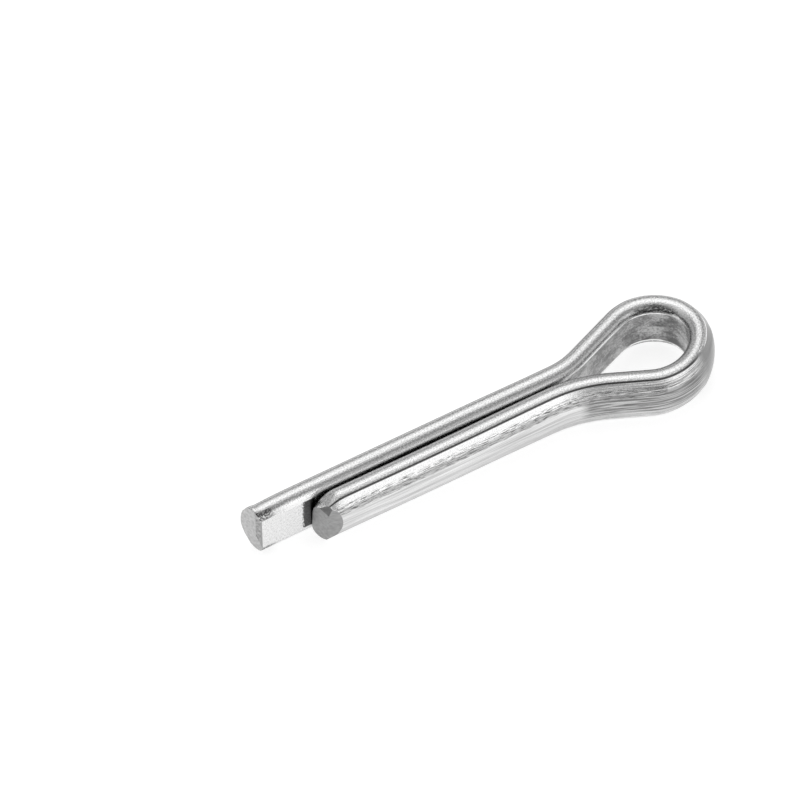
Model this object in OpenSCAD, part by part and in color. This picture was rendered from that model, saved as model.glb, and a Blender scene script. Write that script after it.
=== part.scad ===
// Cotter pin of the 6.3 x 28 size: one length of flat-sided wire folded back on itself.
// Two legs lie side by side along X and join in a round eye at the +X end. The pin lies on its side.
// The origin is midway between the legs, where their inner faces turn apart to form the eye.

/* [Wire] */
// Thickness of the wire, from its flat inner face to the outer face
wire_t = 2.4; // [2.3:0.05:2.55]
// Height of the wire over its rounded edges
wire_h = 5.8; // [5.2:0.1:6.6]
// Radius of the rounded edges above and below the flat face
bead_r = 0.93; // [0.85:0.01:0.95]
// Angle round each rounded edge at which it meets the flat facet beside it
crease_angle = 44; // [40:1:50]
// Slant of that facet from the wire's height
facet_tilt = 30; // [26:1:34]
// Width of that facet, from the rounded edge to the outer face
facet_w = 0.9; // [0.7:0.05:1.1]
// How far the wire's skin draws in at its bends
bend_draw = 0.01; // [0.005:0.005:0.03]

/* [Legs] */
// Gap between the flat faces of the two legs
leg_gap = 0.25; // [0.1:0.05:0.6]
// Length of the short leg, from the origin to its end
short_len = 27; // [14:0.2:80]
// How much further the long leg reaches
prong_step = 5.3; // [2:0.1:8]

/* [Eye] */
// Radius of the hole beside the long leg
eye_r_long = 3.8; // [3.4:0.1:4.2]
// Radius of the hole at the far end, where the wire bends most
eye_r_end = 2.6; // [2.2:0.1:3]
// Radius of the hole beside the short leg
eye_r_short = 3.9; // [3.4:0.1:4.2]
// Direction of the wire where the bend at the far end starts, below the shank's
end_from = 50; // [40:5:70]
// Angle through which the wire turns in the bend at the far end
end_turn = 70; // [50:5:90]
// Angle at which the long leg spreads into the eye
flare_long = 21.8; // [18:0.2:28]
// Angle at which the short leg spreads into the eye
flare_short = 24.6; // [18:0.2:28]
// Radius of the outer face where the long leg bends into the eye
neck_r_long = 6; // [2:0.5:12]
// Radius of the outer face where the short leg bends into the eye
neck_r_short = 12; // [2:0.5:15]

/* [Sheared ends] */
// Slant of the cut across the long leg, whose outer side reaches further
cut_long = 14; // [0:1:30]
// Slant of the cut across the short leg, whose inner side reaches further
cut_short = 22; // [0:1:30]
// Width of the bevel that the shear left along the inner edge of the long leg's cut
bevel_w = 0.5; // [0.2:0.05:0.8]
// Height above the middle at which the pinched corner starts on the short leg's inner edge
pinch_z = 0.8; // [0.4:0.1:1.4]
// Width of the strip along the short leg's outer face where its cut falls further back
corner_w = 0.7; // [0.4:0.05:0.75]

/* [Hidden] */
$fn = 64;

// Centre of each rounded edge above and below mid height, and where it meets its facet
bead_z = wire_h / 2 - bead_r;
crease_y = bead_r * (1 + cos(crease_angle));
crease_z = bead_z + bead_r * sin(crease_angle);
// Height at which the rounded edge stands furthest out of its facet's plane
side_z = bead_z + bead_r * sin(facet_tilt);
// The facet's other edge, and the arc from there over the wire's full thickness
facet_y = crease_y + facet_w * sin(facet_tilt);
facet_z = crease_z - facet_w * cos(facet_tilt);
crown_d = wire_t - facet_y;
crown_r = (crown_d ^ 2 + facet_z ^ 2) / (2 * crown_d);
// Where the planes of the two facets meet at mid height, and how far across they are at one wire's height
apex_y = crease_y + crease_z * tan(facet_tilt);
far_y = apex_y - wire_h * tan(facet_tilt);
// The wire's direction where each of the eye's bends starts and after the last, and each bend's radius
turns = [flare_long, -end_from, -end_from - end_turn, -180 - flare_short];
radii = [eye_r_long, eye_r_end, eye_r_short];
// How far the three bends carry the wire along X and Y
bends_x = sum([for (i = [0:2]) radii[i] * (sin(turns[i]) - sin(turns[i + 1]))]);
bends_y = sum([for (i = [0:2]) radii[i] * (cos(turns[i + 1]) - cos(turns[i]))]);
// Lengths of the two flanks that close the loop, from where each leg's line turns to the first round bend
across = leg_gap + bends_y;
flank_long = -(across * cos(flare_short) + bends_x * sin(flare_short)) / sin(flare_long + flare_short);
flank_short = (bends_x * sin(flare_long) - across * cos(flare_long)) / sin(flare_long + flare_short);
// Each bend runs on into the straight wire, or into the next bend, by a small angle
lap = 0.5;
// Size and tilts of the cutters that shape the ends
cutter = 4 * wire_h;
bevel_tilt = 12;
pinch_dip = 40;
pinch_yaw = 41;
corner_tilt = 36;

function sum(values) = values * [for (v = values) 1];

// Length that a neck's bend takes from the straight wire on each side of it
function lead(neck_r, flare) = (neck_r + wire_t) * tan(flare / 2);

// All that lies inside the planes of the two facets, drawn in by an inset
module facets(inset) {
    translate([-inset / cos(facet_tilt), 0])
        polygon([[-wire_t, -wire_h], [far_y, -wire_h], [apex_y, 0], [far_y, wire_h], [-wire_t, wire_h]]);
}

// The wire's section, drawn in by an inset: flat inner face at x = 0, outer face towards +X, height along Y
module section(inset = 0) {
    intersection() {
        translate([wire_t - crown_r, 0]) circle(crown_r - inset);
        facets(inset);
        union() {
            translate([inset, -bead_z]) square([wire_h, 2 * bead_z]);
            translate([bead_r, -side_z]) square([wire_h, 2 * side_z]);
            for (side = [-1, 1]) translate([bead_r, side * bead_z]) circle(bead_r - inset);
        }
    }
}

// Straight wire along +X with its flat face on y = 0. What follows it starts at its end.
module run(length) {
    rotate([90, 0, 90]) linear_extrude(length) section();
    translate([length, 0, 0]) children();
}

// A bend away from the flat face, with its inside on the outer face
module neck(neck_r, flare) {
    r = neck_r + wire_t;
    translate([0, r, 0]) {
        rotate(-90 - lap) rotate_extrude(angle = flare + 2 * lap)
            translate([r, 0]) mirror([1, 0]) section(bend_draw);
        rotate(flare) translate([0, -r, 0]) children();
    }
}

// A bend of the eye, with its inside on the flat face
module curl(hole_r, turn, draw) {
    translate([0, -hole_r, 0]) {
        rotate(90 - turn - lap) rotate_extrude(angle = turn + 2 * lap)
            translate([hole_r, 0]) section(draw);
        rotate(-turn) translate([0, hole_r, 0]) children();
    }
}

// Everything past a plane through a point, which faces +X until it is tipped down by dip and turned by yaw
module past(point, dip, yaw) {
    translate(point) rotate([0, dip, yaw]) translate([0, -cutter / 2, -cutter / 2]) cube(cutter);
}

// The long leg's end: a cut whose outer side reaches further, bevelled along its inner edge
module long_end(length) {
    difference() {
        run(length + wire_t);
        past([length, 0, 0], 0, -cut_long);
        past([length + bevel_w * tan(cut_long), bevel_w, 0], 0, -cut_long - bevel_tilt);
    }
}

// The short leg's end: a cut whose inner side reaches further, with both its upper inner corner and its
// outer strip slanting back
module short_end(length) {
    corner_y = wire_t - corner_w;
    difference() {
        run(length + wire_t);
        past([length, 0, 0], 0, cut_short);
        past([length, 0, pinch_z], -pinch_dip, -pinch_yaw);
        past([length - corner_y * tan(cut_short), corner_y, 0], 0, cut_short + corner_tilt);
    }
}

module cotter_pin() {
    lead_long = lead(neck_r_long, flare_long);
    lead_short = lead(neck_r_short, flare_short);
    color("silver") translate([-lead_long, leg_gap / 2, 0]) {
        mirror([1, 0, 0]) long_end(short_len + prong_step - lead_long);
        neck(neck_r_long, flare_long)
            run(flank_long - lead_long)
            curl(eye_r_long, turns[0] - turns[1], bend_draw)
            curl(eye_r_end, end_turn, 2 * bend_draw)
            curl(eye_r_short, turns[2] - turns[3], bend_draw)
            run(flank_short - lead_short)
            neck(neck_r_short, flare_short)
            short_end(short_len - lead_short);
    }
}

cotter_pin();
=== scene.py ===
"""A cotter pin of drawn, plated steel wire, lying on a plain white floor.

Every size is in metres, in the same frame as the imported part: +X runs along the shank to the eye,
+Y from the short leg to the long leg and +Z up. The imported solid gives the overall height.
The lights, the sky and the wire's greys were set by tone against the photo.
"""
import math

import bmesh
import bpy
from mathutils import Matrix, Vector


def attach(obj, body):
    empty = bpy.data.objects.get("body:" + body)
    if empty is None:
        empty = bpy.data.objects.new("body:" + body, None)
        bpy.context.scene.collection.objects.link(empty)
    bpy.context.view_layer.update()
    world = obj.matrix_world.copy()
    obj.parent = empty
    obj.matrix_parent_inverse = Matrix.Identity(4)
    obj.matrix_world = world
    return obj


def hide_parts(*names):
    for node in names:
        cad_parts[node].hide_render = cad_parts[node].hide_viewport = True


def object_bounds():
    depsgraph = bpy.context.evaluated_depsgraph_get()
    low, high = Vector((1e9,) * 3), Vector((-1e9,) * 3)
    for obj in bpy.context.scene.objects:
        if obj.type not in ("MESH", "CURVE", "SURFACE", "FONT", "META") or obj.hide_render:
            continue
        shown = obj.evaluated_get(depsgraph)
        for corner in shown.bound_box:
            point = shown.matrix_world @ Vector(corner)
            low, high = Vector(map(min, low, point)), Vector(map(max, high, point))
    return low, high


MM = 0.001

# ---------------------------------------------------------------- sizes of the wire
WIRE_T = 2.4 * MM
BEAD_R = 0.95 * MM
# The rounded edge ends in a nearly flat shoulder, which turns over a tight crease into the facet
SHOULDER_FROM = math.radians(62)
SHOULDER_TILT = math.radians(60)
SHOULDER_W = 0.12 * MM
CREASE_R = 0.24 * MM
FACET_TILT = math.radians(30)
FACET_W = 1.05 * MM
# The section is made this much thinner and lower, which keeps burrs and rolled edges inside the solid's box
SKIN_INSET = 0.03 * MM

# ---------------------------------------------------------------- sizes of the wire's path
LEG_GAP = 0.25 * MM
SHORT_LEN = 27 * MM
PRONG_STEP = 5.3 * MM
EYE_R_LONG = 3.8 * MM
EYE_R_END = 2.6 * MM
EYE_R_SHORT = 3.9 * MM
END_FROM = math.radians(50)
END_TURN = math.radians(70)
FLARE_LONG = math.radians(21.8)
FLARE_SHORT = math.radians(24.6)
NECK_R_LONG = 6 * MM
NECK_R_SHORT = 12 * MM
# Each leg leans towards the other by this much, and comes to it over this length past the neck
LEAN = 0.035 * MM
LEAN_LEN = 5 * MM
# The short leg bows away from the long one by this much at BOW_X, and by nothing BOW_LEN to either side
BOW = 0.04 * MM
BOW_X = -16 * MM
BOW_LEN = 10 * MM
# Each leg comes to roll outwards at its top by this slope, over this length past the neck
ROLL = 0.03
ROLL_LEN = 12 * MM

# ---------------------------------------------------------------- sheared ends
CUT_LONG = math.radians(14)
CUT_SHORT = math.radians(22)
BEVEL_W = 0.5 * MM
BEVEL_TILT = math.radians(12)
# Below this height the long leg's cut tips back
TIP_BACK_Z = -0.4 * MM
TIP_BACK = math.radians(6)
CORNER_W = 0.7 * MM
CORNER_TILT = math.radians(36)
# The short leg's upper inner edge is rounded down over this length, by this much at the end
NOSE_LEN = 2.1 * MM
NOSE_DROP = 1.5 * MM
NOSE_POWER = 2.5
# Past the cut, in metal that the cut then drops, it grows no further than this share of the length allows
NOSE_MOST = 1.2
# The drop is full nearer the flat face than the first and gone beyond the second
NOSE_INNER = 0.8 * MM
NOSE_OUTER = 2.05 * MM
# It is nothing below the first height and full above the second
NOSE_LOW = 0.3 * MM
NOSE_HIGH = 1.5 * MM
# Three corners of the small flat across the end's top corner, as (outward, up, back from the end's cut)
NICK = [(0.85, 1.3, 0.0), (1.95, 0.85, 0.0), (1.55, 2.2, 0.2)]
# The long leg's top sags towards its end, up to a lip at the very end that takes back a share of it
SAG_LEN = 4 * MM
SAG = 0.2 * MM
SAG_HIGH = 2 * MM
LIP_LEN = 0.4 * MM
LIP_SHARE = 0.7
# Each leg's cuts reach only faces up to here, as a step along X from the short leg's end
LONG_TIP = -1.5 * MM
SHORT_TIP = 6 * MM
# Further than any part of the wire
BEYOND = 1.0
# Points this close are one, and points this close to a cut's plane are on it
MERGE_DIST = 1e-8
ON_PLANE = 1e-7

# ---------------------------------------------------------------- burrs
# A burr stands out along the eye's first bend, where the rounded edge leaves the flat face
BURR_H = 0.03 * MM
BURR_PAST = 0.5 * MM
BURR_SOFT = 1 * MM
# A ridge stands out of the crease about the start of the eye's last bend
RIDGE_H = 0.05 * MM
RIDGE_BEFORE = 0.5 * MM
RIDGE_LEN = 1.6 * MM
RIDGE_SOFT = 0.5 * MM

# ---------------------------------------------------------------- mesh density
STEP_STRAIGHT = 0.35 * MM
STEP_BEND = math.radians(2.5)
BEAD_STEPS = 18
CREASE_STEPS = 6
FACET_STEPS = 6
CROWN_STEPS = 18
FLAT_STEPS = 10
# This much wire spans the whole width of the map, whose middle is the middle of the crown
UV_SPAN = 100 * MM
UV_MIDDLE = 0.5

# ---------------------------------------------------------------- camera
VIEW_AZIMUTH = math.radians(-30.25)
VIEW_ELEVATION = math.radians(53)
VIEW_DISTANCE = 1.1
AIM = Vector((-14.0, 6.84, 0)) * MM
LENS = 555
SENSOR = 36
CLIP_NEAR = 0.01
CLIP_FAR = 20

# ---------------------------------------------------------------- light
# The sky's grey at each elevation in degrees
SKY = [(0, 0.45), (10, 0.5), (18, 0.5), (32, 0.34), (47, 0.28), (56, 0.52), (80, 0.7)]
# Two soft spots in the sky, in degrees: the middle's elevation, the radii inside and outside, and the grey
CAMERA_SPOT = (44, 12, 20, 0.0)
SIDE_SPOT_AZIMUTH = -103
SIDE_SPOT = (49, 12, 26, 0.75)
# Each soft box's name, place, size and radiance
LIGHTS = [
    ("overhead", (0.12, 0.2, 0.56), (0.6, 0.6), 0.8),
    ("side", (0.25, -0.62, 0.07), (0.4, 0.16), 1.25),
]
FLOOR_HALF = 3.0
FLOOR_GREY = 0.5
FLOOR_ROUGHNESS = 0.9
# The floor glows by this much where it is seen, which leaves it nearly white and still shows shadows
FLOOR_LIFT = 0.78

# ---------------------------------------------------------------- look of the wire
# Lengths in these tables and down to GAP_SHADE_SOFT and REFLECTION_STRIP_RAGGED are in millimetres
# Noises over the wire: waves a millimetre along it and round it, detail, roughness and offset
NOISES = {
    "lines": (0.12, 9.0, 4.0, 0.6, 0.0),
    "streaks": (0.07, 2.6, 3.0, 0.65, 11.0),
    "waves": (0.3, 5.5, 3.0, 0.55, 7.0),
    "grain": (6.0, 6.5, 4.0, 0.7, 3.0),
    "mottle": (4.5, 5.0, 4.0, 0.7, 19.0),
    "clouds": (0.5, 0.7, 2.0, 0.5, 31.0),
    "scratches": (0.9, 13.0, 3.0, 0.7, 23.0),
    "fine": (0.12, 13.0, 1.5, 0.6, 41.0),
}
# Stretches of the wire: start and end, each as a named move and the distance past its start, and softness
STRETCHES = {
    "near flank": ("eye short", 3.0, "short neck", 2.0, 1.8),
    "far turn": ("eye long", 2.5, "eye short", 1.6, 1.2),
    "in eye": ("long neck", 2.0, "short neck", 0.0, 1.5),
    # The far rim, the far lip and the ridge get painted highlights
    "far rim": ("eye long", 1.4, "eye long", 4.0, 0.6),
    "far lip": ("eye end", 0.3, "eye end", 1.0, 0.15),
    # Under the far bend's rounded edge, where painted shade lies
    "far shade": ("eye long", 1.8, "eye end", 0.2, 0.8),
    "ridge": ("eye short", -0.8, "eye short", 0.9, 0.5),
    # Where the long leg's faces deep in the gap get painted shade
    "long gap shade": ("long leg", 11.5, "long neck", 1.0, 2.5),
    # Where a pale foot is painted on the long leg, as a painted reflection
    "reflection foot": ("long leg", 6.0, "eye long", 0.5, 2.0),
    "dark tip": ("long leg", 2.3, "long leg", 3.4, 0.9),
    "dark cut edge": ("long leg", 2.4, "long leg", 2.64, 0.05),
    # Where the short leg's cut end is painted as a dark reflection on the long leg's flat face
    "strip": ("long leg", 7.5, "long leg", 8.6, 0.12),
}
# Bands round the section: start and end, each as a named point and the distance past it, and softness.
# These go by the distance from the crown's middle with its sign, which is positive on the upper half
TOP_BANDS = {
    "crown top": ("crown end", -0.45, "crown end", 0.0, 0.15),
    # The long leg's pale foot, a painted reflection of the near leg's bright edge
    "reflection foot": ("bead end", -0.7, "bead end", 0.12, 0.15),
    # Where the crease's painted shade lies
    "crease": ("crease", -0.08, "crease", 0.06, 0.06),
    # The ridge gets a painted highlight
    "ridge": ("crease", -0.05, "crease", 0.07, 0.05),
    "flank marks": ("crown middle", -0.6, "crown middle", 1.3, 0.5),
}
# These go by the distance without its sign, so each is on both halves
BANDS = {
    "facet": ("crown end", 0.0, "facet end", 0.0, 0.1),
    "bead": ("facet end", 0.0, "bead end", 0.0, 0.1),
    "scored": ("crown end", -0.5, "crown end", 0.3, 0.3),
    # Deep in the gap, where the faces get painted shade
    "gap shade": ("bead end", 0.34, "flat middle", 1.0, 0.12),
    # The far rim and the far lip get painted highlights
    "far rim": ("bead end", -0.04, "bead end", 0.04, 0.06),
    "far lip": ("bead end", -0.3, "bead end", -0.12, 0.05),
    "far shade": ("bead end", -0.6, "bead end", -0.25, 0.2),
    "dark tip": ("bead end", -0.9, "bead end", -0.1, 0.2),
    # Across the flat face, where the painted dark reflection lies
    "strip": ("flat middle", -1.75, "flat middle", 1.0, 0.12),
}
# The crown and the flat each give way to the part beside them over this much to either side
ZONE_SOFT = 0.1
# Two greys mixed by a noise: the noise, its value at either end of the mix, and the grey there
BLENDS = {
    "core": ("lines", 0.3, 0.7, 0.64, 0.76),
    "bead": ("grain", 0.38, 0.6, 0.56, 0.84),
    "facet": ("grain", 0.36, 0.58, 0.62, 0.86),
    "crown": ("streaks", 0.36, 0.6, 0.5, 0.82),
    # Greys of the pale foot, a painted reflection
    "reflection foot": ("grain", 0.38, 0.56, 0.72, 1.0),
    # The inside of the eye: a mottle, darkened overall with painted shade
    "in eye": ("speckle", 0.18, 0.36, 0.12, 0.46),
}
# Marks over them, among them painted shade, painted highlights and a painted reflection: the grey, and the
# strength, which is fixed or follows a noise as (the noise, its value at either end, and the strength there)
MARKS = {
    "crown top": (0.56, 1.0),
    # Painted shade at the crown's foot
    "crown foot shade": (0.5, 1.0),
    "crown lines": (0.36, ("lines", 0.52, 0.68, 0.0, 0.6)),
    "scored": (0.06, ("scratches", 0.5, 0.57, 0.0, 0.9)),
    # Painted shade on the faces deep in the gap
    "gap shade": (0.02, 0.92),
    # Painted shade, a fine dark line in the crease
    "crease": (0.06, 0.85),
    "flank marks": (0.16, ("waves", 0.42, 0.58, 0.95, 0.15)),
    "flank lines": (0.16, ("fine", 0.48, 0.58, 0.0, 0.6)),
    # Painted shade on the outside of the eye's far turn
    "turn shade": (0.24, 0.95),
    # Painted highlights on the burrs of the eye's rim and on the ridge
    "rim": (1.0, 1.0),
    # Painted shade under the far bend's rounded edge, and a dark mottle by the long leg's end
    "shade and dark tip": (0.06, ("mottle", 0.4, 0.52, 0.0, 0.9)),
    "dark cut edge": (0.15, 0.7),
    # Painted reflection of the short leg's cut end, dark on the long leg's flat face
    "strip": (0.02, ("mottle", 0.3, 0.6, 1.0, 0.9)),
}
# The crown's foot darkens with painted shade from the first of these to the second, below its middle
FOOT_START = -0.6
FOOT_END = -1.9
# The scores are this faint on the lower half, and on the long leg as far as the eye
SCORE_FAINT = 0.3
# They fade in over this height, just above the crown's middle
SCORE_SOFT = 0.1
# The painted shade deep in the gap comes in over this length on the short leg's side
GAP_SHADE_SOFT = 1.0
# How far the mottling moves the edges of the painted dark reflection across the long leg's flat face
REFLECTION_STRIP_RAGGED = 1.2
# Depth of each noise as a bump, and its strength where it is weaker
LINE_DEPTH = 0.012 * MM
LINE_ON_TURN = 0.15
WAVE_DEPTH = 0.032 * MM
WAVE_OFF_FLANK = 0.2
WAVE_TURN_LOSS = 0.16
GRAIN_DEPTH = 0.022 * MM
GRAIN_OFF_BEAD = 0.35
ROUGHNESS = ("grain", 0.3, 0.7, 0.16, 0.3)

# ---------------------------------------------------------------- look of the sheared faces
# The name and two greys of each sheared face. The wire's own material is slot 0, and these follow it
SHEARED = [
    ("sheared_long", 0.4, 0.6),
    ("sheared_short", 0.28, 0.4),
    # The nick's greys are darker than the main cut's, as painted shade
    ("sheared_nick_shade", 0.12, 0.2),
    ("sheared_bevel", 0.2, 0.55),
]
SLOTS = {row[0]: i + 1 for i, row in enumerate(SHEARED)}
SHEARED_WAVES = 3.0
SHEARED_DETAIL = 5.0
SHEARED_NOISE_ROUGHNESS = 0.6
SHEARED_NOISE_RANGE = (0.35, 0.65)
SHEARED_ROUGHNESS = 0.45
SHEARED_DEPTH = 0.02 * MM


def share(value):
    """The value held between 0 and 1."""
    return min(max(value, 0), 1)


def ease(t):
    """0 to 1 with a smooth start and end."""
    return t * t * (3 - 2 * t)


def window(value, start, end, soft):
    """1 between start and end, falling smoothly to 0 over soft on either side."""
    return ease(min(share((value - start + soft) / soft), share((end + soft - value) / soft)))


# ---------------------------------------------------------------- the wire's section
def bead_points(bead_z, burr):
    """The rounded edge as (outward, up), from the flat to its shoulder, with a burr where it starts."""
    points = []
    for i in range(BEAD_STEPS + 1):
        a = math.pi + (SHOULDER_FROM - math.pi) * i / BEAD_STEPS
        points.append((BEAD_R * (1 + math.cos(a)), bead_z + BEAD_R * math.sin(a)))
    points[0] = (-burr, bead_z)
    return points


def crease_points(shoulder, ridge):
    """The tight crease past the shoulder's start, standing out by a ridge."""
    y, z = shoulder
    y += SHOULDER_W * math.sin(SHOULDER_TILT) - CREASE_R * math.cos(SHOULDER_TILT)
    z -= SHOULDER_W * math.cos(SHOULDER_TILT) + CREASE_R * math.sin(SHOULDER_TILT)
    points = []
    for i in range(CREASE_STEPS + 1):
        a = SHOULDER_TILT + (FACET_TILT - SHOULDER_TILT) * i / CREASE_STEPS
        points.append((y + (CREASE_R + ridge) * math.cos(a), z + (CREASE_R + ridge) * math.sin(a)))
    return points


def facet_and_crown_points(crease):
    """The flat facet past the crease, and the arc from there to the crown's middle."""
    crease_y, crease_z = crease
    facet_y = crease_y + FACET_W * math.sin(FACET_TILT)
    facet_z = crease_z - FACET_W * math.cos(FACET_TILT)
    points = []
    for i in range(1, FACET_STEPS):
        t = i / FACET_STEPS
        points.append((crease_y + (facet_y - crease_y) * t, crease_z + (facet_z - crease_z) * t))
    crown_d = WIRE_T - facet_y
    crown_r = (crown_d ** 2 + facet_z ** 2) / (2 * crown_d)
    first = math.asin(facet_z / crown_r)
    for i in range(CROWN_STEPS + 1):
        a = first * (1 - i / CROWN_STEPS)
        points.append((WIRE_T - crown_r + crown_r * math.cos(a), crown_r * math.sin(a)))
    return points


def wire_section(height, burr=0.0, ridge=0.0):
    """Half of the wire's outline, as (outward, up).

    It runs from the flat's middle over the top and down to the crown's middle.
    """
    bead_z = height / 2 - BEAD_R
    points = [(0, bead_z * i / FLAT_STEPS) for i in range(FLAT_STEPS)]
    points += bead_points(bead_z, burr)
    points += crease_points(points[-1], ridge)
    points += facet_and_crown_points(points[-1])
    slim = 1 - SKIN_INSET / WIRE_T
    low = 1 - SKIN_INSET / height
    return [(y * slim, z * low) for y, z in points]


def full_section(half):
    """The closed outline that starts at the flat's middle."""
    return half + [(y, -z) for y, z in reversed(half[1:-1])]


def distances(outline, middle):
    """The distance round the outline from its point number middle, at each point and back at the first."""
    around = [0.0]
    for i in range(1, len(outline) + 1):
        around.append(around[-1] + math.dist(outline[i - 1], outline[i % len(outline)]))
    return [around[middle] - s for s in around]


def section_distances(height):
    """The distance of each point of the outline from the crown's middle."""
    half = wire_section(height)
    return distances(full_section(half), len(half) - 1)


def section_points(height):
    """Named points of the section's upper half, as distances in millimetres from the crown's middle."""
    around = section_distances(height)
    crease = FLAT_STEPS + BEAD_STEPS + CREASE_STEPS // 2
    facet = FLAT_STEPS + BEAD_STEPS + CREASE_STEPS + 1
    return {
        "flat middle": around[0] / MM,
        "bead end": around[FLAT_STEPS] / MM,
        "crease": around[crease] / MM,
        "facet end": around[facet] / MM,
        "crown end": around[facet + FACET_STEPS] / MM,
        "crown middle": 0.0,
    }


# ---------------------------------------------------------------- the wire's path
def lead(neck_r, flare):
    """Length that a neck's bend takes from the straight wire on each side of it."""
    return (neck_r + WIRE_T) * math.tan(flare / 2)


def flank_lengths(turns):
    """Lengths of the two flanks that close the eye, from where each leg's line turns to the first bend."""
    radii = [EYE_R_LONG, EYE_R_END, EYE_R_SHORT]
    bends_x = sum(r * (math.sin(turns[i]) - math.sin(turns[i + 1])) for i, r in enumerate(radii))
    bends_y = sum(r * (math.cos(turns[i + 1]) - math.cos(turns[i])) for i, r in enumerate(radii))
    across = LEG_GAP + bends_y
    spread = math.sin(FLARE_LONG + FLARE_SHORT)
    flank_long = -(across * math.cos(FLARE_SHORT) + bends_x * math.sin(FLARE_SHORT)) / spread
    flank_short = (bends_x * math.sin(FLARE_LONG) - across * math.cos(FLARE_LONG)) / spread
    return flank_long, flank_short


def wire_moves():
    """Straight runs and bends from past the long leg's end round the eye to past the short leg's end.

    Each is (name, length, radius, turn).
    """
    turns = [FLARE_LONG, -END_FROM, -END_FROM - END_TURN, -math.pi - FLARE_SHORT]
    flank_long, flank_short = flank_lengths(turns)
    lead_long = lead(NECK_R_LONG, FLARE_LONG)
    lead_short = lead(NECK_R_SHORT, FLARE_SHORT)
    return [
        ("long leg", SHORT_LEN + PRONG_STEP + WIRE_T - lead_long, 0, 0),
        ("long neck", 0, NECK_R_LONG + WIRE_T, FLARE_LONG),
        ("long flank", flank_long - lead_long, 0, 0),
        ("eye long", 0, EYE_R_LONG, turns[1] - turns[0]),
        ("eye end", 0, EYE_R_END, turns[2] - turns[1]),
        ("eye short", 0, EYE_R_SHORT, turns[3] - turns[2]),
        ("short flank", flank_short - lead_short, 0, 0),
        ("short neck", 0, NECK_R_SHORT + WIRE_T, FLARE_SHORT),
        ("short leg", SHORT_LEN + WIRE_T - lead_short, 0, 0),
    ]


def wire_marks():
    """The distance along the wire at which each named move starts."""
    marks, s = {}, 0.0
    for name, length, radius, turn in wire_moves():
        marks[name] = s
        s += length + radius * abs(turn)
    return marks


def bend_places(place, radius, turn):
    """Places along a bend that starts at a place."""
    x, y, heading, s = place
    side = math.copysign(1, turn)
    cx = x - side * radius * math.sin(heading)
    cy = y + side * radius * math.cos(heading)
    n = max(2, round(abs(turn) / STEP_BEND))
    places = []
    for _ in range(n):
        heading += turn / n
        s += radius * abs(turn) / n
        x = cx + side * radius * math.sin(heading)
        y = cy - side * radius * math.cos(heading)
        places.append((x, y, heading, s))
    return places


def straight_places(place, length):
    """Places along a straight run that starts at a place."""
    x, y, heading, s = place
    n = max(1, round(length / STEP_STRAIGHT))
    places = []
    for _ in range(n):
        x += length / n * math.cos(heading)
        y += length / n * math.sin(heading)
        s += length / n
        places.append((x, y, heading, s))
    return places


def wire_places():
    """Places along the flat face as (x, y, heading, distance)."""
    places = [(-SHORT_LEN - PRONG_STEP - WIRE_T, LEG_GAP / 2, 0.0, 0.0)]
    for _, length, radius, turn in wire_moves():
        if turn:
            places += bend_places(places[-1], radius, turn)
        else:
            places += straight_places(places[-1], length)
    return places


# ---------------------------------------------------------------- springback and shear damage
def lean(x, y):
    """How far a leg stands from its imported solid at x, as a step along Y."""
    step = -math.copysign(LEAN, y) * ease(share(-x / LEAN_LEN))
    if y < 0:
        t = share(abs(x - BOW_X) / BOW_LEN)
        step -= BOW * (0.5 + 0.5 * math.cos(math.pi * t))
    return step


def rolled(x, out, up):
    """A point of the section, as (outward, up), on the leg rolled about its middle."""
    slope = ROLL * ease(share(-x / ROLL_LEN))
    return out + slope * up, up - slope * (out - WIRE_T / 2)


def nose(x, out, up):
    """How far a point of the short leg's section is rounded down: most at its upper inner edge."""
    end = -SHORT_LEN + out * math.tan(CUT_SHORT)
    near = min(max((end + NOSE_LEN - x) / NOSE_LEN, 0), NOSE_MOST)
    inner = share((NOSE_OUTER - out) / (NOSE_OUTER - NOSE_INNER))
    top = share((up - NOSE_LOW) / (NOSE_HIGH - NOSE_LOW))
    return -NOSE_DROP * near ** NOSE_POWER * inner * ease(top)


def sag(x, up):
    """How far the long leg's top lies below its full height near its end."""
    end = -SHORT_LEN - PRONG_STEP
    near = share((end + SAG_LEN - x) / SAG_LEN)
    lip = share((end + LIP_LEN - x) / LIP_LEN)
    return -SAG * near ** 2 * (1 - LIP_SHARE * lip) * share(up / SAG_HIGH)


# ---------------------------------------------------------------- the swept mesh
def wire_ring(bm, place, marks, height):
    """The section's vertices at one place along the wire."""
    x, y, heading, s = place
    burr = BURR_H * window(s, marks["eye long"] - BURR_PAST, marks["eye end"] + BURR_PAST, BURR_SOFT)
    ridge_from = marks["eye short"] - RIDGE_BEFORE
    ridge = RIDGE_H * window(s, ridge_from, marks["eye short"] + RIDGE_LEN, RIDGE_SOFT)
    out = Vector((-math.sin(heading), math.cos(heading), 0))
    base = Vector((x, y + lean(x, y), 0))
    ring = []
    for u, w in full_section(wire_section(height, burr, ridge)):
        drop = nose(x, u, w) if y < 0 else sag(x, w)
        across, rise = rolled(x, u, w)
        ring.append(bm.verts.new(base + out * across + Vector((0, 0, rise + drop))))
    return ring


def join_rings(bm, uv, ring, following, ends, around):
    """Smooth faces from one ring to the next, mapped by the distance along and round the wire."""
    s0, s1 = ends
    n = len(ring)
    for j in range(n):
        k = (j + 1) % n
        face = bm.faces.new((ring[j], ring[k], following[k], following[j]))
        face.smooth = True
        corners = ((s0, around[j]), (s0, around[j + 1]), (s1, around[j + 1]), (s1, around[j]))
        for loop, (s, v) in zip(face.loops, corners):
            loop[uv].uv = (s / UV_SPAN, UV_MIDDLE + v / UV_SPAN)


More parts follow.
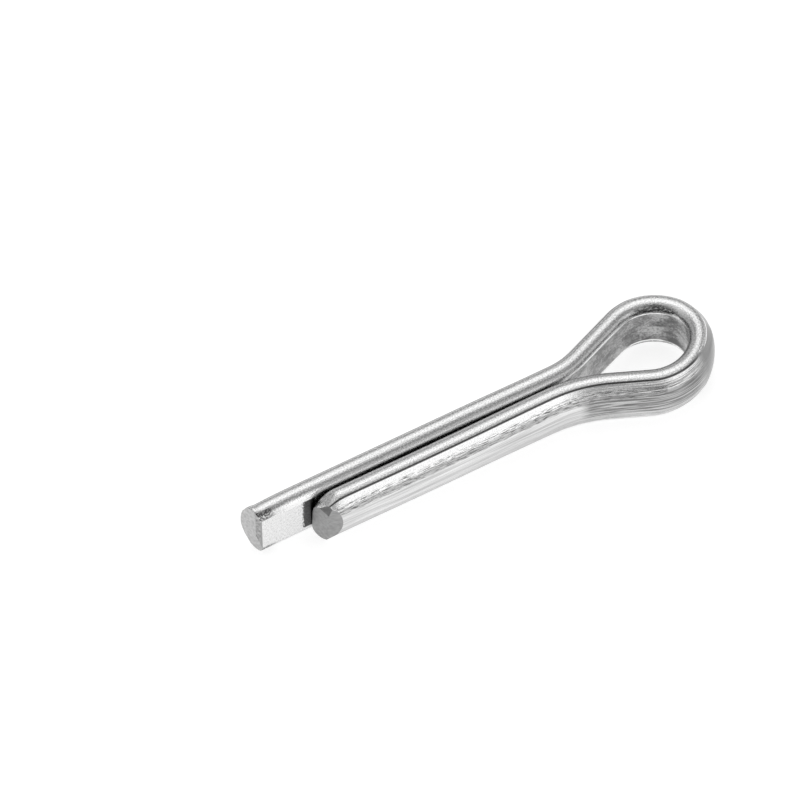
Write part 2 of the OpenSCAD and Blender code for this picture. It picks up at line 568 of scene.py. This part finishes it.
def sweep_wire(bm, uv, height):
    """The whole wire, a little longer than its ends, which are then cut."""
    marks = wire_marks()
    around = section_distances(height)
    places = wire_places()
    rings = [wire_ring(bm, place, marks, height) for place in places]
    for i in range(len(rings) - 1):
        ends = (places[i][3], places[i + 1][3])
        join_rings(bm, uv, rings[i], rings[i + 1], ends, around)


# ---------------------------------------------------------------- the sheared ends
def shear(bm, uv, faces, point, normal, name):
    """Cuts faces by a plane, drops the normal's side and closes the cut with a named flat face."""
    # Listed once each in the mesh's own order, because a set's order would change from run to run
    verts = list(dict.fromkeys(v for f in faces for v in f.verts))
    edges = list(dict.fromkeys(e for f in faces for e in f.edges))
    bmesh.ops.bisect_plane(bm, geom=verts + edges + faces, dist=MERGE_DIST,
                           plane_co=point, plane_no=normal, clear_outer=True)
    rim = []
    for edge in bm.edges:
        on_plane = all(abs((v.co - point).dot(normal)) < ON_PLANE for v in edge.verts)
        if edge.is_boundary and on_plane:
            rim.append(edge)
    for face in bmesh.ops.edgenet_fill(bm, edges=rim)["faces"]:
        face.smooth = False
        face.material_index = SLOTS[name]
        for loop in face.loops:
            across = loop.vert.co.y - point.y
            loop[uv].uv = (across / UV_SPAN, UV_MIDDLE + loop.vert.co.z / UV_SPAN)


def faces_within(bm, low, high):
    """Faces whose middles lie inside a box."""
    return [f for f in bm.faces if all(a < c < b for a, c, b in zip(low, f.calc_center_median(), high))]


def long_tip(bm):
    """Faces of the long leg past the short leg's end."""
    return faces_within(bm, (-BEYOND, 0, -BEYOND), (-SHORT_LEN + LONG_TIP, BEYOND, BEYOND))


def short_tip(bm):
    """Faces of the short leg near its end."""
    return faces_within(bm, (-BEYOND, -BEYOND, -BEYOND), (-SHORT_LEN + SHORT_TIP, 0, BEYOND))


def cut_normal(side, yaw, dip=0.0):
    """The -X direction tipped down by dip and turned by yaw, for the leg on +Y (side 1) or -Y (side -1)."""
    level = math.cos(dip)
    return Vector((-level * math.cos(yaw), side * level * math.sin(yaw), -math.sin(dip)))


def shear_long_end(bm, uv, flat):
    """The long leg's slanted cut, its bevelled inner edge, and its lower part tipped back."""
    end = -SHORT_LEN - PRONG_STEP
    point = Vector((end, flat, 0))
    shear(bm, uv, long_tip(bm), point, cut_normal(1, -CUT_LONG), "sheared_long")
    point = Vector((end - BEVEL_W * math.tan(CUT_LONG), flat + BEVEL_W, 0))
    shear(bm, uv, long_tip(bm), point, cut_normal(1, -CUT_LONG - BEVEL_TILT), "sheared_bevel")
    point = Vector((end, flat, TIP_BACK_Z))
    shear(bm, uv, long_tip(bm), point, cut_normal(1, -CUT_LONG, TIP_BACK), "sheared_long")


def nick_corner(flat, out, up, back):
    """A corner of the short leg's nick, given in millimetres."""
    x = -SHORT_LEN + (out * math.tan(CUT_SHORT) + back) * MM
    return Vector((x, -flat - out * MM, up * MM))


def shear_short_end(bm, uv, flat):
    """The short leg's slanted cut, its outer strip that slants further back, and its nick."""
    point = Vector((-SHORT_LEN, -flat, 0))
    shear(bm, uv, short_tip(bm), point, cut_normal(-1, CUT_SHORT), "sheared_short")
    corner_y = WIRE_T - CORNER_W
    point = Vector((-SHORT_LEN + corner_y * math.tan(CUT_SHORT), -flat - corner_y, 0))
    shear(bm, uv, short_tip(bm), point, cut_normal(-1, CUT_SHORT + CORNER_TILT), "sheared_short")
    first, second, third = [nick_corner(flat, *corner) for corner in NICK]
    normal = (second - first).cross(third - first).normalized()
    if normal.z < 0:
        normal = -normal
    shear(bm, uv, short_tip(bm), first, normal, "sheared_nick_shade")


# ---------------------------------------------------------------- building materials
class Nodes:
    """A few shorthands for building a node tree."""

    def __init__(self, tree):
        self.tree = tree

    def put(self, value, socket):
        """Links a socket, or sets a constant."""
        if isinstance(value, bpy.types.NodeSocket):
            self.tree.links.new(value, socket)
        else:
            socket.default_value = value

    def math(self, operation, a, b=0.0, clamp=False):
        """One step of arithmetic."""
        node = self.tree.nodes.new("ShaderNodeMath")
        node.operation = operation
        node.use_clamp = clamp
        self.put(a, node.inputs[0])
        self.put(b, node.inputs[1])
        return node.outputs[0]

    def both(self, a, b):
        """Where two masks overlap."""
        return self.math("MULTIPLY", a, b)

    def either(self, a, b):
        """Where one of two masks is, or both."""
        return self.math("MAXIMUM", a, b)

    def outside(self, mask):
        """Where a mask isn't."""
        return self.math("SUBTRACT", 1.0, mask)

    def wire_uv(self):
        """Distance along and round the wire, in millimetres."""
        uv = self.tree.nodes.new("ShaderNodeUVMap")
        uv.uv_map = "wire"
        split = self.tree.nodes.new("ShaderNodeSeparateXYZ")
        self.tree.links.new(uv.outputs["UV"], split.inputs[0])
        along = self.math("MULTIPLY", split.outputs[0], UV_SPAN / MM)
        centred = self.math("SUBTRACT", split.outputs[1], UV_MIDDLE)
        return along, self.math("MULTIPLY", centred, UV_SPAN / MM)

    def noise(self, x, y, scale_x, scale_y, detail, roughness, offset=0.0):
        """Noise over two distances, with its own scale for each, in waves a millimetre."""
        join = self.tree.nodes.new("ShaderNodeCombineXYZ")
        self.put(self.math("MULTIPLY", x, scale_x), join.inputs[0])
        self.put(self.math("MULTIPLY", y, scale_y), join.inputs[1])
        join.inputs[2].default_value = offset
        node = self.tree.nodes.new("ShaderNodeTexNoise")
        node.inputs["Scale"].default_value = 1.0
        node.inputs["Detail"].default_value = detail
        node.inputs["Roughness"].default_value = roughness
        self.tree.links.new(join.outputs[0], node.inputs["Vector"])
        return node.outputs["Fac"]

    def remap(self, value, a, b, c, d, kind="LINEAR"):
        """Maps a to c and b to d, and holds c and d beyond them."""
        node = self.tree.nodes.new("ShaderNodeMapRange")
        node.interpolation_type = kind
        for socket, v in zip(node.inputs, (value, a, b, c, d)):
            self.put(v, socket)
        return node.outputs[0]

    def band(self, value, start, end, soft):
        """1 between start and end, falling smoothly to 0 over soft on either side."""
        up = self.remap(value, start - soft, start, 0.0, 1.0, "SMOOTHSTEP")
        down = self.remap(value, end, end + soft, 1.0, 0.0, "SMOOTHSTEP")
        return self.both(up, down)

    def mix(self, factor, a, b):
        """Colour a where the factor is 0 and b where it is 1."""
        node = self.tree.nodes.new("ShaderNodeMix")
        node.data_type = "RGBA"
        self.put(factor, node.inputs["Factor"])
        self.put(a, [s for s in node.inputs if s.name == "A" and s.type == "RGBA"][0])
        self.put(b, [s for s in node.inputs if s.name == "B" and s.type == "RGBA"][0])
        return [s for s in node.outputs if s.type == "RGBA"][0]

    def bump(self, height, distance, strength=1.0, normal=None):
        """A bump over another normal, or over the plain surface."""
        node = self.tree.nodes.new("ShaderNodeBump")
        self.put(strength, node.inputs["Strength"])
        node.inputs["Distance"].default_value = distance
        self.tree.links.new(height, node.inputs["Height"])
        if normal is not None:
            self.tree.links.new(normal, node.inputs["Normal"])
        return node.outputs[0]


def new_material(name):
    """A material, with its node shorthands and its shader's inputs."""
    material = bpy.data.materials.new(name)
    material.use_nodes = True
    tree = material.node_tree
    return material, Nodes(tree), tree.nodes["Principled BSDF"].inputs


def grey(value):
    """An opaque grey."""
    return (value, value, value, 1)


# ---------------------------------------------------------------- the wire's material
class WireMaps:
    """The wire's distances, noises and masks in one node tree, with every length in millimetres."""

    def __init__(self, m, height):
        self.m = m
        self.along, self.around = m.wire_uv()
        self.side = m.math("ABSOLUTE", self.around)
        self.marks = {name: s / MM for name, s in wire_marks().items()}
        self.points = section_points(height)
        self.noises = {name: m.noise(self.along, self.around, *sizes) for name, sizes in NOISES.items()}
        self.noises["speckle"] = m.math("MULTIPLY", self.noises["mottle"], self.noises["clouds"])
        self.mask_zones()

    def mask_zones(self):
        """Masks of the section's parts, and of the stretches that several marks share."""
        crown_end, bead_end = self.points["crown end"], self.points["bead end"]
        low, high = crown_end - ZONE_SOFT, crown_end + ZONE_SOFT
        self.on_crown = self.m.remap(self.side, low, high, 1.0, 0.0, "SMOOTHSTEP")
        low, high = bead_end - ZONE_SOFT, bead_end + ZONE_SOFT
        self.on_flat = self.m.remap(self.side, low, high, 0.0, 1.0, "SMOOTHSTEP")
        self.on_facet = self.band("facet")
        self.on_bead = self.band("bead")
        self.on_outside = self.m.either(self.on_crown, self.on_facet)
        self.near_flank = self.stretch("near flank")
        self.far_turn = self.stretch("far turn")
        self.flank_outside = self.m.both(self.near_flank, self.on_outside)

    def stretch(self, name, along=None):
        """Mask of a named stretch of the wire."""
        first, after, last, past, soft = STRETCHES[name]
        distance = self.along if along is None else along
        return self.m.band(distance, self.marks[first] + after, self.marks[last] + past, soft)

    def band(self, name):
        """Mask of a named band on both halves of the section."""
        first, after, last, past, soft = BANDS[name]
        return self.m.band(self.side, self.points[first] + after, self.points[last] + past, soft)

    def top_band(self, name):
        """Mask of a named band by the signed distance round the section."""
        first, after, last, past, soft = TOP_BANDS[name]
        return self.m.band(self.around, self.points[first] + after, self.points[last] + past, soft)

    def level(self, noise, low, high, at_low, at_high):
        """A level that follows a noise."""
        return self.m.remap(self.noises[noise], low, high, at_low, at_high)

    def blend(self, name):
        """Two named greys mixed by their noise."""
        noise, low, high, dark, pale = BLENDS[name]
        return self.m.mix(self.level(noise, low, high, 0.0, 1.0), grey(dark), grey(pale))

    def paint(self, tone, name, where):
        """The tone with a named mark over it, where a mask is 1."""
        value, strength = MARKS[name]
        if isinstance(strength, tuple):
            strength = self.level(*strength)
        return self.m.mix(self.m.math("MULTIPLY", where, strength), tone, grey(value))


def crown_tone(w):
    """Light streaks, a grey band at the top, a greyer foot of painted shade away from the near flank, and
    dark lines.
    """
    tone = w.paint(w.blend("crown"), "crown top", w.top_band("crown top"))
    low = w.m.remap(w.around, FOOT_START, FOOT_END, 0.0, 1.0)
    tone = w.paint(tone, "crown foot shade", w.m.both(low, w.m.outside(w.near_flank)))
    return w.paint(tone, "crown lines", 1.0)


def base_tone(w):
    """The metal of each part of the section."""
    tone = w.m.mix(w.on_bead, w.blend("core"), w.blend("bead"))
    tone = w.m.mix(w.m.either(w.on_facet, w.on_flat), tone, w.blend("facet"))
    return w.m.mix(w.on_crown, tone, crown_tone(w))


def add_scores(w, tone):
    """A scored band at the crown's top, faint on the lower half and the long leg, which the photo hides."""
    upper = w.m.remap(w.around, 0.0, SCORE_SOFT, SCORE_FAINT, 1.0)
    near = w.m.remap(w.along, w.marks["eye long"], w.marks["eye end"], SCORE_FAINT, 1.0)
    return w.paint(tone, "scored", w.m.both(w.band("scored"), w.m.both(upper, near)))


def add_reflection_and_gap_shade(w, tone):
    """A painted reflection as a pale foot to the long leg's rounded edge, above the gap, and painted shade
    on the faces deep in the gap.
    """
    # A pale foot painted on the long leg's rounded edge above the gap, as a painted reflection of the near
    # leg's bright edge
    foot = w.m.both(w.top_band("reflection foot"), w.stretch("reflection foot"))
    tone = w.m.mix(foot, tone, w.blend("reflection foot"))
    # Painted shade on the faces deep in the gap, along the long leg and from the short leg's start
    start = w.marks["short leg"]
    short = w.m.remap(w.along, start - GAP_SHADE_SOFT, start, 0.0, 1.0)
    legs = w.m.either(w.stretch("long gap shade"), short)
    return w.paint(tone, "gap shade", w.m.both(w.band("gap shade"), legs))


def add_flank(w, tone):
    """A fine dark line of painted shade in the crease except round the far turn, and the drawing marks of
    the near flank.
    """
    line = w.m.both(w.top_band("crease"), w.m.outside(w.far_turn))
    tone = w.paint(tone, "crease", line)
    tone = w.paint(tone, "flank marks", w.m.both(w.flank_outside, w.top_band("flank marks")))
    return w.paint(tone, "flank lines", w.flank_outside)


def add_eye(w, tone):
    """A darker outside of painted shade where the wire is bent most, a mottled inside darkened with painted
    shade, and painted highlights on the burrs of its rim and on the ridge.
    """
    # The outside of the far turn is darker, as painted shade
    tone = w.paint(tone, "turn shade", w.m.both(w.far_turn, w.on_outside))
    # The flat face inside the eye is mottled, and darker as painted shade
    tone = w.m.mix(w.m.both(w.stretch("in eye"), w.on_flat), tone, w.blend("in eye"))
    # Painted highlights along the burrs of the rim and the lip and along the ridge
    rim = w.m.both(w.band("far rim"), w.stretch("far rim"))
    lip = w.m.both(w.band("far lip"), w.stretch("far lip"))
    ridge = w.m.both(w.top_band("ridge"), w.stretch("ridge"))
    return w.paint(tone, "rim", w.m.either(w.m.either(rim, lip), ridge))


def add_shade_and_dark_tip(w, tone):
    """Painted shade under the far bend's rounded edge, a dark mottle by the long leg's end, and a dark edge
    to its flat face.
    """
    under = w.m.both(w.band("far shade"), w.stretch("far shade"))
    tip = w.m.both(w.band("dark tip"), w.stretch("dark tip"))
    # Painted shade under the far bend, and a dark mottle by the long leg's end
    tone = w.paint(tone, "shade and dark tip", w.m.either(under, tip))
    return w.paint(tone, "dark cut edge", w.m.both(w.on_flat, w.stretch("dark cut edge")))


def add_strip(w, tone):
    """A dark ragged strip of painted reflection across the long leg's flat face, beside the short leg's end.

    It is painted because the photo shows it dark. It may be a mark, a shadow or a reflection there. It is
    the short leg's cut end, reflected dark in the flat face.
    """
    ragged = w.m.math("ADD", w.along, w.m.math("MULTIPLY", w.noises["mottle"], REFLECTION_STRIP_RAGGED))
    return w.paint(tone, "strip", w.m.both(w.band("strip"), w.stretch("strip", ragged)))


def wire_normal(w):
    """Drawing marks, deeper on the near flank, and a fine grain that is deepest on the rounded edges."""
    line_strength = w.m.remap(w.far_turn, 0.0, 1.0, 1.0, LINE_ON_TURN)
    normal = w.m.bump(w.noises["lines"], LINE_DEPTH, line_strength)
    on_flank = w.m.remap(w.flank_outside, 0.0, 1.0, WAVE_OFF_FLANK, 1.0)
    loss = w.m.math("MULTIPLY", w.far_turn, WAVE_TURN_LOSS)
    wave_strength = w.m.math("SUBTRACT", on_flank, loss, clamp=True)
    normal = w.m.bump(w.noises["waves"], WAVE_DEPTH, wave_strength, normal)
    grain_strength = w.m.remap(w.on_bead, 0.0, 1.0, GRAIN_OFF_BEAD, 1.0)
    return w.m.bump(w.noises["grain"], GRAIN_DEPTH, grain_strength, normal)


def plated_wire_material(height):
    """The drawn wire's metal, with its marks, painted shade, painted highlights and painted reflection laid
    over one another in this order.
    """
    material, m, shader = new_material("plated_wire")
    w = WireMaps(m, height)
    tone = base_tone(w)
    for add in (add_scores, add_reflection_and_gap_shade, add_flank, add_eye, add_shade_and_dark_tip, add_strip):
        tone = add(w, tone)
    m.put(tone, shader["Base Color"])
    m.put(w.level(*ROUGHNESS), shader["Roughness"])
    m.put(wire_normal(w), shader["Normal"])
    shader["Metallic"].default_value = 1.0
    return material


def sheared_face_material(name, dark, pale):
    """Plain grained metal between two greys."""
    material, m, shader = new_material(name)
    along, around = m.wire_uv()
    waves = SHEARED_WAVES
    grain = m.noise(along, around, waves, waves, SHEARED_DETAIL, SHEARED_NOISE_ROUGHNESS)
    low, high = SHEARED_NOISE_RANGE
    tone = m.mix(m.remap(grain, low, high, 0.0, 1.0), grey(dark), grey(pale))
    m.put(tone, shader["Base Color"])
    m.put(m.bump(grain, SHEARED_DEPTH), shader["Normal"])
    shader["Metallic"].default_value = 1.0
    shader["Roughness"].default_value = SHEARED_ROUGHNESS
    return material


# ---------------------------------------------------------------- the pin
def pin_mesh(height):
    """The swept wire with both ends sheared."""
    bm = bmesh.new()
    uv = bm.loops.layers.uv.new("wire")
    sweep_wire(bm, uv, height)
    flat = LEG_GAP / 2 - LEAN
    shear_long_end(bm, uv, flat)
    shear_short_end(bm, uv, flat)
    bmesh.ops.delete(bm, geom=[v for v in bm.verts if not v.link_faces], context="VERTS")
    bmesh.ops.recalc_face_normals(bm, faces=bm.faces[:])
    mesh = bpy.data.meshes.new("pin_wire")
    bm.to_mesh(mesh)
    bm.free()
    return mesh


def make_pin(height):
    """The one visual piece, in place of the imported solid."""
    mesh = pin_mesh(height)
    mesh.materials.append(plated_wire_material(height))
    for name, dark, pale in SHEARED:
        mesh.materials.append(sheared_face_material(name, dark, pale))
    pin = bpy.data.objects.new("pin_wire", mesh)
    bpy.context.scene.collection.objects.link(pin)
    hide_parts("cotter_pin")
    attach(pin, "root")


# ---------------------------------------------------------------- surroundings
def floor_material():
    """Pale paper that glows a little where it is seen."""
    material, m, shader = new_material("floor_paper")
    shader["Base Color"].default_value = grey(FLOOR_GREY)
    shader["Roughness"].default_value = FLOOR_ROUGHNESS
    shader["Specular IOR Level"].default_value = 0.0
    path = m.tree.nodes.new("ShaderNodeLightPath")
    seen = m.either(path.outputs["Is Camera Ray"], path.outputs["Is Glossy Ray"])
    seen = m.either(seen, path.outputs["Is Transmission Ray"])
    shader["Emission Color"].default_value = grey(1)
    m.put(m.math("MULTIPLY", seen, FLOOR_LIFT), shader["Emission Strength"])
    return material


def make_floor(z):
    """A plain pale floor under the pin."""
    mesh = bpy.data.meshes.new("floor")
    half = FLOOR_HALF
    corners = [(-half, -half, z), (half, -half, z), (half, half, z), (-half, half, z)]
    mesh.from_pydata(corners, [], [(0, 1, 2, 3)])
    mesh.materials.append(floor_material())
    floor = bpy.data.objects.new("floor", mesh)
    bpy.context.scene.collection.objects.link(floor)


def make_light(name, place, size, radiance):
    """A soft box that faces the origin and shines with the given radiance, where 1 is white."""
    data = bpy.data.lights.new(name, "AREA")
    data.shape = "RECTANGLE"
    data.size, data.size_y = size
    data.energy = radiance * math.pi * size[0] * size[1]
    light = bpy.data.objects.new(name, data)
    light.location = place
    light.rotation_euler = (-Vector(place)).to_track_quat("-Z", "Y").to_euler()
    bpy.context.scene.collection.objects.link(light)


def toward_sky(azimuth, elevation):
    """The direction at an azimuth from -Y towards +X, and at an elevation, both in radians."""
    flat = math.cos(elevation)
    return Vector((math.sin(azimuth) * flat, -math.cos(azimuth) * flat, math.sin(elevation)))


def add_spot(m, sky, toward, azimuth, spot):
    """The sky with a soft round spot of grey. The azimuth and the spot are in degrees."""
    elevation, inner, outer, value = spot
    node = m.tree.nodes.new("ShaderNodeVectorMath")
    node.operation = "DOT_PRODUCT"
    m.tree.links.new(toward, node.inputs[0])
    node.inputs[1].default_value = toward_sky(math.radians(azimuth), math.radians(elevation))
    near, far = math.cos(math.radians(inner)), math.cos(math.radians(outer))
    where = m.remap(node.outputs["Value"], far, near, 0.0, 1.0, "SMOOTHSTEP")
    return m.mix(where, sky, grey(value))


def make_world():
    """Grey by height above the horizon, with a dark spot behind the camera and a pale one to the side."""
    world = bpy.data.worlds.new("studio")
    bpy.context.scene.world = world
    world.use_nodes = True
    m = Nodes(world.node_tree)
    toward = m.tree.nodes.new("ShaderNodeTexCoord").outputs["Generated"]
    split = m.tree.nodes.new("ShaderNodeSeparateXYZ")
    m.put(toward, split.inputs[0])
    ramp = m.tree.nodes.new("ShaderNodeValToRGB")
    m.put(split.outputs[2], ramp.inputs[0])
    while len(ramp.color_ramp.elements) < len(SKY):
        ramp.color_ramp.elements.new(1.0)
    for element, (elevation, level) in zip(ramp.color_ramp.elements, SKY):
        element.position = math.sin(math.radians(elevation))
        element.color = grey(level)
    sky = add_spot(m, ramp.outputs[0], toward, math.degrees(VIEW_AZIMUTH), CAMERA_SPOT)
    sky = add_spot(m, sky, toward, SIDE_SPOT_AZIMUTH, SIDE_SPOT)
    m.put(sky, m.tree.nodes["Background"].inputs["Color"])
    m.tree.nodes["Background"].inputs["Strength"].default_value = 1.0


def make_camera():
    """The photo's view."""
    data = bpy.data.cameras.new("camera")
    data.lens, data.sensor_width = LENS, SENSOR
    data.clip_start, data.clip_end = CLIP_NEAR, CLIP_FAR
    camera = bpy.data.objects.new("camera", data)
    back = toward_sky(VIEW_AZIMUTH, VIEW_ELEVATION)
    camera.location = AIM + back * VIEW_DISTANCE
    camera.rotation_euler = (-back).to_track_quat("-Z", "Y").to_euler()
    bpy.context.scene.collection.objects.link(camera)
    bpy.context.scene.camera = camera


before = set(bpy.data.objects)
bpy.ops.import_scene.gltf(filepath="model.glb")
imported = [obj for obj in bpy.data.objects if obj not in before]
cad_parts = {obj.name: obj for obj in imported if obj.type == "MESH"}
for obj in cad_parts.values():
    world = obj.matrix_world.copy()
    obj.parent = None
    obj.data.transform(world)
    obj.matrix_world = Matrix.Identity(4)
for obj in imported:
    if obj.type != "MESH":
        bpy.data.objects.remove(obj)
cad_lo, cad_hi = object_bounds()
make_camera()
make_pin(cad_hi.z - cad_lo.z)
make_floor(cad_lo.z)
make_world()
for light in LIGHTS:
    make_light(*light)
bpy.context.scene.view_settings.view_transform = "Standard"
